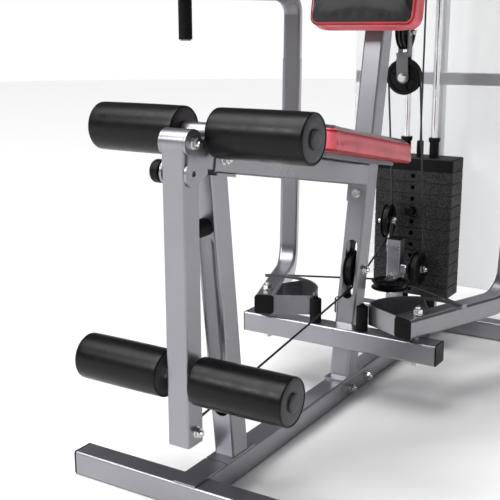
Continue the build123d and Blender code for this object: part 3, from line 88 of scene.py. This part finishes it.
class Finish:
    """A node material built round one Principled shader."""

    def __init__(self, name, colour, roughness, metallic=0.0, **sockets):
        self.material = bpy.data.materials.new(name)
        self.material.use_nodes = True
        self.nodes = self.material.node_tree.nodes
        self.links = self.material.node_tree.links
        self.shader = self.nodes["Principled BSDF"]
        self.shader.inputs["Base Color"].default_value = (*colour, 1.0)
        self.shader.inputs["Roughness"].default_value = roughness
        self.shader.inputs["Metallic"].default_value = metallic
        for key, value in sockets.items():
            self.shader.inputs[key.replace("_", " ")].default_value = value
        self.place = self.nodes.new("ShaderNodeTexCoord").outputs["Object"]
        self.height = None

    def stretched(self, scale):
        """Object coordinates scaled unevenly."""
        mapping = self.nodes.new("ShaderNodeMapping")
        mapping.inputs["Scale"].default_value = scale
        self.links.new(self.place, mapping.inputs["Vector"])
        return mapping.outputs["Vector"]

    def noise(self, scale, detail=3.0, rough=0.55, vector=None):
        """Noise value over the surface."""
        node = self.nodes.new("ShaderNodeTexNoise")
        node.inputs["Scale"].default_value = scale
        node.inputs["Detail"].default_value = detail
        node.inputs["Roughness"].default_value = rough
        self.links.new(vector or self.place, node.inputs["Vector"])
        return node.outputs["Fac"]

    def cells(self, scale, feature="F1", vector=None):
        """Voronoi distance over the surface."""
        node = self.nodes.new("ShaderNodeTexVoronoi")
        node.feature = feature
        node.inputs["Scale"].default_value = scale
        self.links.new(vector or self.place, node.inputs["Vector"])
        return node.outputs["Distance"]

    def ramp(self, value, stops):
        """Colour ramp from (position, colour) stops."""
        node = self.nodes.new("ShaderNodeValToRGB")
        ramp = node.color_ramp
        while len(ramp.elements) < len(stops):
            ramp.elements.new(0.5)
        for element, (position, colour) in zip(ramp.elements, stops):
            element.position = position
            element.color = (*colour, 1.0)
        self.links.new(value, node.inputs["Fac"])
        return node.outputs["Color"]

    def spread(self, value, low, high, start=0.3, end=0.7):
        """Value remapped from start..end to low..high."""
        node = self.nodes.new("ShaderNodeMapRange")
        node.inputs["From Min"].default_value = start
        node.inputs["From Max"].default_value = end
        node.inputs["To Min"].default_value = low
        node.inputs["To Max"].default_value = high
        self.links.new(value, node.inputs["Value"])
        return node.outputs["Result"]

    def panelled(self, outside, inside):
        """Switch to the inside colour past the sewn edge stored on the mesh."""
        stored = self.nodes.new("ShaderNodeAttribute")
        stored.attribute_name = PANEL
        edge = self.spread(stored.outputs["Fac"], 0.0, 1.0, PANEL_EDGE - 0.0004, PANEL_EDGE + 0.0004)
        node = self.nodes.new("ShaderNodeMixRGB")
        node.inputs["Color2"].default_value = (*inside, 1.0)
        self.links.new(edge, node.inputs["Fac"])
        self.links.new(outside, node.inputs["Color1"])
        self.bump(edge, 0.5, 0.0010)
        return node.outputs["Color"]

    def into(self, output, socket):
        """Drive a shader socket."""
        self.links.new(output, self.shader.inputs[socket])
        return self

    def bump(self, value, strength, distance):
        """Add a bump layer."""
        node = self.nodes.new("ShaderNodeBump")
        node.inputs["Strength"].default_value = strength
        node.inputs["Distance"].default_value = distance
        self.links.new(value, node.inputs["Height"])
        if self.height:
            self.links.new(self.height, node.inputs["Normal"])
        self.height = node.outputs["Normal"]
        self.links.new(self.height, self.shader.inputs["Normal"])
        return self


def tint(colour, factor):
    """Colour times a factor."""
    return tuple(channel * factor for channel in colour)


def paint(name, colour, metallic=0.88, roughness=0.31):
    """Powder coat with metallic flake, faint orange peel and handling marks."""
    coat = Finish(name, colour, roughness, metallic, Coat_Weight=0.12, Coat_Roughness=0.25)
    flake = coat.noise(2600.0, 1.0)
    coat.into(coat.ramp(flake, [(0.3, tint(colour, 0.86)), (0.7, tint(colour, 1.16))]), "Base Color")
    coat.into(coat.spread(coat.noise(9.0, 5.0), roughness - 0.05, roughness + 0.07), "Roughness")
    coat.bump(coat.noise(420.0, 2.0), 0.07, 0.0004)
    coat.bump(coat.noise(1500.0, 1.0), 0.05, 0.0002)
    return coat.material


def plated(name, colour, roughness):
    """Zinc or chrome with fine turning marks and dull patches."""
    metal = Finish(name, colour, roughness, 1.0)
    metal.into(metal.spread(metal.noise(60.0, 4.0), roughness * 0.7, roughness * 1.5), "Roughness")
    metal.into(metal.ramp(metal.noise(35.0, 4.0), [(0.3, tint(colour, 0.85)), (0.7, colour)]), "Base Color")
    metal.bump(metal.noise(900.0, 2.0, vector=metal.stretched((1, 1, 0.1))), 0.05, 0.0002)
    return metal.material


def vinyl(name, colour, roughness, sheen=0.1, gloss=0.5, panel=None):
    """Vinyl skin with leather grain, soft creases and a slight colour drift."""
    skin = Finish(name, colour, roughness, 0.0, Sheen_Weight=sheen, Sheen_Roughness=0.4)
    skin.shader.inputs["Specular IOR Level"].default_value = gloss
    shade = skin.ramp(skin.noise(14.0, 4.0), [(0.3, tint(colour, 0.85)), (0.7, tint(colour, 1.12))])
    if panel:
        shade = skin.panelled(shade, panel)
    skin.into(shade, "Base Color")
    skin.into(skin.spread(skin.noise(45.0, 4.0), roughness - 0.05, roughness + 0.08), "Roughness")
    skin.bump(skin.cells(520.0, "DISTANCE_TO_EDGE"), 0.22, 0.0004)
    skin.bump(skin.noise(1100.0, 2.0), 0.12, 0.0003)
    skin.bump(skin.noise(22.0, 3.0), 0.06, 0.0016)
    return skin.material


def plastic(name, colour, roughness):
    """Moulded plastic with a fine spark-eroded grain."""
    body = Finish(name, colour, roughness)
    body.shader.inputs["Specular IOR Level"].default_value = 0.14
    stops = [(0.3, tint(colour, 0.85)), (0.7, tint(colour, 1.2))]
    body.into(body.ramp(body.noise(25.0, 3.0), stops), "Base Color")
    body.into(body.spread(body.noise(80.0, 3.0), roughness - 0.06, roughness + 0.1), "Roughness")
    body.bump(body.noise(1900.0, 2.0), 0.14, 0.0002)
    return body.material


def speckled(name, dark, pale, roughness):
    """Cast plate with a two-tone hammered paint."""
    iron = Finish(name, dark, roughness)
    iron.shader.inputs["Specular IOR Level"].default_value = 0.14
    specks = iron.noise(420.0, 4.0, 0.7)
    iron.into(iron.ramp(specks, [(0.42, dark), (0.52, tint(pale, 0.6)), (0.66, pale)]), "Base Color")
    iron.into(iron.spread(iron.noise(90.0, 3.0), roughness - 0.1, roughness + 0.1), "Roughness")
    iron.bump(iron.noise(150.0, 4.0, 0.7), 0.35, 0.0012)
    return iron.material


def guard():
    """Frosted clear sheet."""
    sheet = Finish("guard_sheet", (0.93, 0.95, 0.96), 0.35, 0.0, Alpha=0.28)
    sheet.into(sheet.spread(sheet.noise(30.0, 3.0), 0.3, 0.5), "Roughness")
    sheet.bump(sheet.noise(700.0, 2.0), 0.05, 0.0002)
    return sheet.material


def braided(name, colour):
    """Nylon coated cable, the lay of the wire just showing through."""
    coat = Finish(name, colour, 0.34)
    stops = [(0.3, tint(colour, 0.7)), (0.7, tint(colour, 1.4))]
    coat.into(coat.ramp(coat.noise(60.0, 3.0), stops), "Base Color")
    coat.bump(coat.noise(700.0, 2.0, vector=coat.stretched((1, 1, 0.4))), 0.2, 0.0003)
    return coat.material


GREY = (0.310, 0.305, 0.328)
MATERIALS = {
    "frame_paint": paint("frame_paint", GREY),
    "arm_paint": paint("arm_paint", tint(GREY, 0.94)),
    "zinc": plated("zinc", (0.80, 0.80, 0.78), 0.24),
    "chrome": plated("chrome", (0.83, 0.83, 0.84), 0.12),
    "black_vinyl": vinyl("black_vinyl", (0.0028, 0.0028, 0.0034), 0.31, 0.0, 0.22),
    "red_vinyl": vinyl("red_vinyl", (0.74, 0.115, 0.145), 0.42, 0.3, panel=(0.004, 0.004, 0.0045)),
    "black_plastic": plastic("black_plastic", (0.0045, 0.0045, 0.005), 0.42),
    "pulley_plastic": plastic("pulley_plastic", (0.007, 0.007, 0.008), 0.38),
    "rubber": plastic("rubber", (0.005, 0.005, 0.005), 0.60),
    "cable_coat": braided("cable_coat", (0.012, 0.012, 0.012)),
    "plate_iron": speckled("plate_iron", (0.010, 0.010, 0.011), (0.070, 0.070, 0.073), 0.5),
    "head_iron": plastic("head_iron", (0.005, 0.005, 0.0055), 0.46),
    "board": plastic("board", (0.030, 0.027, 0.024), 0.60),
    "black_steel": paint("black_steel", (0.16, 0.16, 0.17), 0.4, 0.4),
    "guard_sheet": guard(),
}
DEEP_RED = vinyl("deep_red_band", (0.36, 0.006, 0.016), 0.40, 0.0, 0.3)
FOAM_END = vinyl("roller_end", (0.030, 0.030, 0.035), 0.44, 0.0, 0.5)

for entry in frame["record"]["subparts"]:
    shown = frame["nodes"][entry["node"]]
    shown.data.materials.clear()
    shown.data.materials.append(MATERIALS[entry["material_slot"]])


# ---- mesh helpers --------------------------------------------------------------------
def new_piece(name, mesh_bm, materials, body, smooth_angle=35.0):
    """Object from a bmesh, riding on a body when one is given."""
    bmesh.ops.recalc_face_normals(mesh_bm, faces=mesh_bm.faces)
    mesh = bpy.data.meshes.new(name)
    mesh_bm.to_mesh(mesh)
    mesh_bm.free()
    for material in materials:
        mesh.materials.append(material)
    mesh.shade_smooth()
    mesh.set_sharp_from_angle(angle=radians(smooth_angle))
    piece = bpy.data.objects.new(name, mesh)
    bpy.context.scene.collection.objects.link(piece)
    if body:
        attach(piece, body)
    return piece


def rings_to_mesh(rings, bands, close_ends=True):
    """Closed skin over rings of points; bands gives each strip's material."""
    shape = bmesh.new()
    loops = [[shape.verts.new(point) for point in ring] for ring in rings]
    count = len(loops[0])
    for index, (low, high) in enumerate(zip(loops, loops[1:])):
        for step in range(count):
            after = (step + 1) % count
            face = shape.faces.new((low[step], low[after], high[after], high[step]))
            face.material_index = bands[index]
    if close_ends:
        for loop, band in ((loops[0], bands[0]), (loops[-1], bands[-1])):
            shape.faces.new(loop).material_index = band
    return shape


def lathe(origin, axis, profile, bands, steps=72, wobble=0.0):
    """Closed turned skin: profile is (distance along the axis, radius)."""
    axis = Vector(axis).normalized()
    side = axis.orthogonal().normalized()
    other = axis.cross(side)
    rings = []
    for along, radius in profile:
        ring = []
        for step in range(steps):
            turn = 2 * pi * step / steps
            swell = radius * (1 + wobble * sin(3 * turn + 40 * along) * sin(2 * turn + 1.3))
            ring.append(Vector(origin) + axis * along + (side * cos(turn) + other * sin(turn)) * swell)
        rings.append(ring)
    return rings_to_mesh(rings, bands)


# ---- foam rollers and arm pads -------------------------------------------------------
FOAM_R = 0.043
ROLLER_START, ROLLER_LENGTH = 0.034, 0.1836
ARM_PAD_LENGTH = 0.220


def roller(name, node, body, start, axis, length, radius, outer_end=True):
    """Vinyl-skinned foam roller: crowned barrel, sewn rims and puckered end discs."""
    rim = 0.0034
    profile, bands = [], []

    def ring(along, size, band):
        profile.append((along, size))
        bands.append(band)

    end = [(0.0010, 0.0172, 1), (0.0004, radius * 0.55, 1), (0.0006, radius - rim - 0.0030, 1),
           (0.0013, radius - rim - 0.0016, 1), (0.0004, radius - rim - 0.0004, 0),
           (0.0001, radius - rim + 0.0008, 0), (0.0006, radius - 0.0012, 0),
           (0.0018, radius - 0.0003, 0), (0.0040, radius - 0.0001, 0)]
    for along, size, band in end:
        ring(along, size, band)
    barrel = 16
    for index in range(1, barrel):
        share = index / barrel
        ring(0.0040 + (length - 0.0080) * share, radius + 0.0004 * sin(pi * share), 0)
    for along, size, band in reversed(end):
        ring(length - along, size, band)
    piece = new_piece(name, lathe(start, axis, profile, bands, 96, 0.0015),
                      [MATERIALS["black_vinyl"], FOAM_END], body, 60.0)
    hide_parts(node)
    if outer_end:
        plug = [(-0.003, 0.0150), (-0.0002, 0.0166), (0.0022, 0.0166), (0.0036, 0.0156), (0.0043, 0.0130),
                (0.0047, 0.0080), (0.0048, 0.0030)]
        tip = Vector(start) + Vector(axis) * length
        new_piece(name + "_plug", lathe(tip, axis, plug, [0] * len(plug), 64),
                  [FOAM_END], body, 60.0)
    return piece


def foam_parts():
    """The four leg rollers and the two forearm pads."""
    for level, y, z in (("upper", -0.535, 0.673), ("lower", -0.598, 0.2506)):
        for name, side in (("left", -1), ("right", 1)):
            body = f"{level}_{name}_roller"
            roller(f"{body}_foam", body, body, (side * ROLLER_START, y, z),
                   (side, 0, 0), ROLLER_LENGTH, FOAM_R)
    for name, side in (("left", -1), ("right", 1)):
        roller(f"{name}_arm_foam", f"{name}_arm_pad", f"{name}_arm", (side * 0.430, 0.020, 0.980),
               (0, 0, 1), ARM_PAD_LENGTH, FOAM_R, False)


foam_parts()


# ---- cushions ------------------------------------------------------------------------
VOXEL = 0.005                  # remesh size of the pads before the cloth
SWELL_CAP = 0.006              # farthest that a point of a pad may swell
GLUED_H = 0.010                # height above the base that stays glued down
SEAM_DROP = 0.0105             # welt below the pad's nominal top
SEAM_DEPTH, SEAM_HALF = 0.0016, 0.004
BAND_Z, BAND_DEPTH, BAND_HALF = 0.0095, 0.0012, 0.003
BAND_TOP = 0.0050              # top of the deep red lower band
RIM_ZONE = 0.02                # strip along the sides that takes the creases
WELT_R = 0.0016


def outline(width, length, corner, inset, per_corner=12, per_side=22):
    """Rounded rectangle."""
    half_w, half_l = width / 2 - inset, length / 2 - inset
    radius = max(corner - inset, 0.004)
    points = []
    centres = [(half_w - radius, half_l - radius), (-half_w + radius, half_l - radius),
               (-half_w + radius, -half_l + radius), (half_w - radius, -half_l + radius)]
    for index, (x, y) in enumerate(centres):
        for step in range(per_corner + 1):
            turn = pi / 2 * (index + step / per_corner)
            points.append([x + radius * cos(turn), y + radius * sin(turn)])
        nx, ny = centres[(index + 1) % 4]
        turn = pi / 2 * (index + 1)
        first = (x + radius * cos(turn), y + radius * sin(turn))
        last = (nx + radius * cos(turn), ny + radius * sin(turn))
        for step in range(1, per_side):
            share = step / per_side
            points.append([first[0] + (last[0] - first[0]) * share, first[1] + (last[1] - first[1]) * share])
    return points


def blank(width, length, thick, corner):
    """Closed pad blank: flat base, upright sides and a low crown, in the cushion's own axes."""
    layers = [(0.010, 0.0), (0.0030, 0.0), (0.0008, 0.0028), (0.0, 0.008), (0.0, thick * 0.3),
              (0.0, thick * 0.6), (0.0, thick - 0.014), (0.0012, thick - 0.0085), (0.0060, thick - 0.0045)]
    rings = []
    for inset, height in layers:
        rings.append([Vector((x, y, height)) for x, y in outline(width, length, corner, inset)])
    rim = outline(width, length, corner, 0.0060)
    for step in range(1, 12):
        share = step / 12
        height = thick - 0.0045 + 0.0022 * sin(pi / 2 * min(1.0, share * 1.5))
        rings.append([Vector((x * (1 - share), y * (1 - share), height)) for x, y in rim])
    shape = rings_to_mesh(rings, [0] * len(rings))
    bmesh.ops.recalc_face_normals(shape, faces=shape.faces)
    return shape


def swell(mesh):
    """Blow the blank up a little with cloth pressure; the base stays where it is glued."""
    proxy = bpy.data.objects.new("proxy", mesh)
    scene = bpy.context.scene
    scene.collection.objects.link(proxy)
    bpy.context.view_layer.objects.active = proxy
    voxels = proxy.modifiers.new("voxels", "REMESH")
    voxels.mode = "VOXEL"
    voxels.voxel_size = VOXEL
    bpy.ops.object.modifier_apply(modifier="voxels")
    rest = [vertex.co.copy() for vertex in proxy.data.vertices]
    pinned = proxy.vertex_groups.new(name="pinned")
    pinned.add([index for index, point in enumerate(rest) if point.z < GLUED_H], 1.0, "REPLACE")
    cloth = proxy.modifiers.new("cloth", "CLOTH")
    cloth.settings.vertex_group_mass = "pinned"
    cloth.settings.use_pressure = True
    cloth.settings.uniform_pressure_force = 4.0
    cloth.settings.effector_weights.gravity = 0.0
    cloth.settings.quality = 4
    for number in range(1, 21):
        scene.frame_set(number)
    bpy.ops.object.modifier_apply(modifier="cloth")
    scene.frame_set(1)
    for vertex, before in zip(proxy.data.vertices, rest):
        shift = vertex.co - before
        if shift.length > SWELL_CAP:
            vertex.co = before + shift.normalized() * SWELL_CAP
    refined = proxy.modifiers.new("smooth", "SUBSURF")
    refined.levels = refined.render_levels = 1
    bpy.ops.object.modifier_apply(modifier="smooth")
    result = proxy.data
    bpy.data.objects.remove(proxy)
    return result


def depth_inside(point, width, length, corner):
    """Distance from the cushion's rounded outline, positive inside."""
    x = abs(point.x) - width / 2 + corner
    y = abs(point.y) - length / 2 + corner
    return corner - hypot(max(x, 0.0), max(y, 0.0)) - min(max(x, y), 0.0)


def sewn_line(shape, width, length, corner, height):
    """Closed line on the pad's side, evened out."""
    tree = BVHTree.FromBMesh(shape)
    line = []
    for x, y in outline(width, length, corner, 0.0):
        nearest = tree.find_nearest(Vector((x, y, height)))[0]
        line.append(Vector((nearest.x, nearest.y, height)))
    for _ in range(4):
        line = [(line[index - 1] + point * 2 + line[(index + 1) % len(line)]) / 4
                for index, point in enumerate(line)]
    return line


def welt(line, radius):
    """Sewn welt along a closed line."""
    shape = bmesh.new()
    rings = []
    for index, point in enumerate(line):
        tangent = (line[(index + 1) % len(line)] - line[index - 1]).normalized()
        out = tangent.cross(Vector((0, 0, 1)))
        rings.append([
            shape.verts.new(point + (out * cos(turn) + Vector((0, 0, 1)) * sin(turn)) * radius)
            for turn in [pi / 4 * step for step in range(8)]
        ])
    for index, ring in enumerate(rings):
        after = rings[(index + 1) % len(rings)]
        for step in range(8):
            shape.faces.new((ring[step], ring[(step + 1) % 8], after[(step + 1) % 8], after[step]))
    return shape


def cushion(name, node, origin, y_dir, z_dir, width, length, thick, corner):
    """Upholstered pad: glued base, deep lower band, pulled sides, welt and crowned top."""
    place = Matrix((Vector((1, 0, 0)), Vector(y_dir), Vector(z_dir))).transposed().to_4x4()
    place.translation = Vector(origin)
    mesh = bpy.data.meshes.new(name)
    shape = blank(width - 0.002, length - 0.002, thick, corner)
    shape.to_mesh(mesh)
    shape.free()
    mesh = swell(mesh)
    seam = thick - SEAM_DROP
    half_w, half_l = width / 2, length / 2
    shape = bmesh.new()
    shape.from_mesh(mesh)
    panel = shape.verts.layers.float.new(PANEL)
    line = sewn_line(shape, width, length, corner, seam)
    for vertex in shape.verts:
        point = vertex.co
        if point.z > seam:
            vertex[panel] = depth_inside(point, width, length, corner)
        near = min(half_w - abs(point.x), half_l - abs(point.y))
        if near < RIM_ZONE:
            crease = SEAM_DEPTH * max(0.0, 1 - abs(point.z - seam) / SEAM_HALF)
            band = BAND_DEPTH * max(0.0, 1 - abs(point.z - BAND_Z) / BAND_HALF)
            away = Vector((point.x / half_w if half_w - abs(point.x) < RIM_ZONE else 0,
                           point.y / half_l if half_l - abs(point.y) < RIM_ZONE else 0, 0))
            if away.length > 0:
                vertex.co = point - away.normalized() * (crease + band)
    for face in shape.faces:
        face.material_index = 1 if face.calc_center_median().z < BAND_TOP else 0
    trim = welt(line, WELT_R)
    trim_mesh = bpy.data.meshes.new(name + "_trim")
    trim.to_mesh(trim_mesh)
    trim.free()
    for polygon in trim_mesh.polygons:
        polygon.material_index = 1
    shape.from_mesh(trim_mesh)
    bmesh.ops.transform(shape, matrix=place, verts=shape.verts)
    piece = new_piece(name, shape, [MATERIALS["red_vinyl"], DEEP_RED], "frame", 60.0)
    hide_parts(node)
    return piece


def both_cushions():
    """Seat and backrest."""
    slope, lean = radians(10.3), radians(10.6)
    cushion("seat_pad", "seat_cushion", (0, -0.10445, 0.58584), (0, cos(slope), -sin(slope)),
            (0, sin(slope), cos(slope)), 0.268, 0.410, 0.050, 0.022)
    cushion("back_pad", "back_cushion", (0, 0.17226, 1.11133), (0, sin(lean), cos(lean)),
            (0, -cos(lean), sin(lean)), 0.264, 0.560, 0.052, 0.026)


both_cushions()


# ---- cables that lengthen as the machine moves ----------------------------------------
def cable_run(name, node, fixed, moving):
    """Coated cable from its fixed wheel to the end that a body pulls."""
    fixed, moving = Vector(fixed), Vector(moving)
    way = moving - fixed
    count = max(12, int(way.length / 0.02))
    profile = [(way.length * index / count, 0.0024) for index in range(count + 1)]
    shape = lathe(fixed, way, profile, [0] * len(profile), 14)
    piece = new_piece(name, shape, [MATERIALS["cable_coat"]], None)
    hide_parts(node)
    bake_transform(piece)
    return piece


def moving_cables():
    """Both ends of the lat cable, and the leg cable's run to the leg developer."""
    eye, corner = Vector((0, -0.5635, 0.1573)), Vector((0, 0.0835, 0.2531))
    share = (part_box("leg_cable_run")[1].y - 0.0003 - eye.y) / (corner.y - eye.y)
    cable_run("leg_cable_front_run", "leg_cable_run", eye.lerp(corner, share), eye)
    low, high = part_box("lat_cable_front")
    middle = (low + high) / 2
    cable_run("lat_cable_front_run", "lat_cable_front", (middle.x, middle.y, high.z + 0.0003),
              (middle.x, middle.y, low.z))
    low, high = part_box("lat_cable_rear")
    middle = (low + high) / 2
    cable_run("lat_cable_rear_run", "lat_cable_rear", (middle.x, middle.y, high.z + 0.0003),
              (middle.x, middle.y, low.z))


moving_cables()


# ---- pulley ribs ---------------------------------------------------------------------
RIB_SECTION = ((-0.0016, 0.0052), (-0.0010, 0.0084), (0.0010, 0.0084), (0.0016, 0.0052))
RIB_FACES = ((0, 1, 2, 3), (4, 5, 6, 7), (0, 1, 5, 4), (1, 2, 6, 5), (2, 3, 7, 6), (3, 0, 4, 7))


def pulley_ribs():
    """Moulded spokes in the recesses of every pulley."""
    for joint in frame["joints"]:
        name = joint["child"]
        if not name.endswith("_pulley"):
            continue
        axis = Vector(joint["axis"]).normalized()
        centre = Vector(joint["pos_m"])
        side = axis.orthogonal().normalized()
        shape = bmesh.new()
        for face in (-1, 1):
            for index in range(6):
                turn = Matrix.Rotation(pi / 3 * index, 3, axis)
                out, across = turn @ side, turn @ side.cross(axis)
                corners = []
                for along in (0.0172, 0.0358):
                    for width, depth in RIB_SECTION:
                        corners.append(centre + out * along + across * width + axis * face * depth)
                verts = [shape.verts.new(corner) for corner in corners]
                for quad in RIB_FACES:
                    shape.faces.new([verts[corner] for corner in quad])
        new_piece(name + "_ribs", shape, [MATERIALS["pulley_plastic"]], name, 25.0)


pulley_ribs()


# ---- stage ---------------------------------------------------------------------------
def make_stage():
    """Pale floor, soft lights and a world that is bright at the horizon."""
    shape = bmesh.new()
    bmesh.ops.create_circle(shape, cap_ends=True, segments=64, radius=14.0)
    mesh = bpy.data.meshes.new("floor")
    shape.to_mesh(mesh)
    shape.free()
    ground = Finish("floor_white", (0.90, 0.90, 0.905), 0.55)
    ground.into(ground.ramp(ground.noise(2.0, 2.0), [(0.0, (0.895,) * 3), (1.0, (0.91,) * 3)]), "Base Color")
    mesh.materials.append(ground.material)
    floor = bpy.data.objects.new("floor", mesh)
    floor.location.z = -0.0005
    bpy.context.scene.collection.objects.link(floor)
    for name, place, width, height, power, aim in (
        ("front", (-4.2, -7.4, 5.7), 2.0, 2.0, 300.0, (0, -0.2, 0.6)),
        ("fill", (3.4, -1.6, 1.6), 2.0, 2.0, 4.0, (0, 0, 0.6)),
        ("rim", (-0.6, 4.2, 2.6), 2.4, 2.4, 8.0, (0, 0, 0.6)),
    ):
        data = bpy.data.lights.new(name, "AREA")
        data.shape = "RECTANGLE"
        data.size = width
        data.size_y = height
        data.energy = power
        light = bpy.data.objects.new(name, data)
        light.location = place
        light.rotation_euler = (Vector(aim) - Vector(place)).to_track_quat("-Z", "Y").to_euler()
        bpy.context.scene.collection.objects.link(light)
    data = bpy.data.lights.new("above", "SUN")
    data.energy = 3.4
    data.angle = radians(50)
    light = bpy.data.objects.new("above", data)
    light.rotation_euler = (radians(14), radians(-16), 0)
    bpy.context.scene.collection.objects.link(light)
    world = bpy.data.worlds.new("studio")
    world.use_nodes = True
    nodes, links = world.node_tree.nodes, world.node_tree.links
    split = nodes.new("ShaderNodeSeparateXYZ")
    links.new(nodes.new("ShaderNodeTexCoord").outputs["Generated"], split.inputs[0])
    ramp = nodes.new("ShaderNodeValToRGB")
    ramp.color_ramp.elements[0].position = 0.025
    ramp.color_ramp.elements[0].color = (1.0, 1.0, 1.0, 1.0)
    ramp.color_ramp.elements[1].position = 0.17
    ramp.color_ramp.elements[1].color = (0.11, 0.11, 0.12, 1.0)
    links.new(split.outputs["Z"], ramp.inputs["Fac"])
    links.new(ramp.outputs["Color"], nodes["Background"].inputs["Color"])
    nodes["Background"].inputs["Strength"].default_value = 1.0
    bpy.context.scene.world = world
    bpy.context.scene.view_settings.view_transform = "Standard"


make_stage()
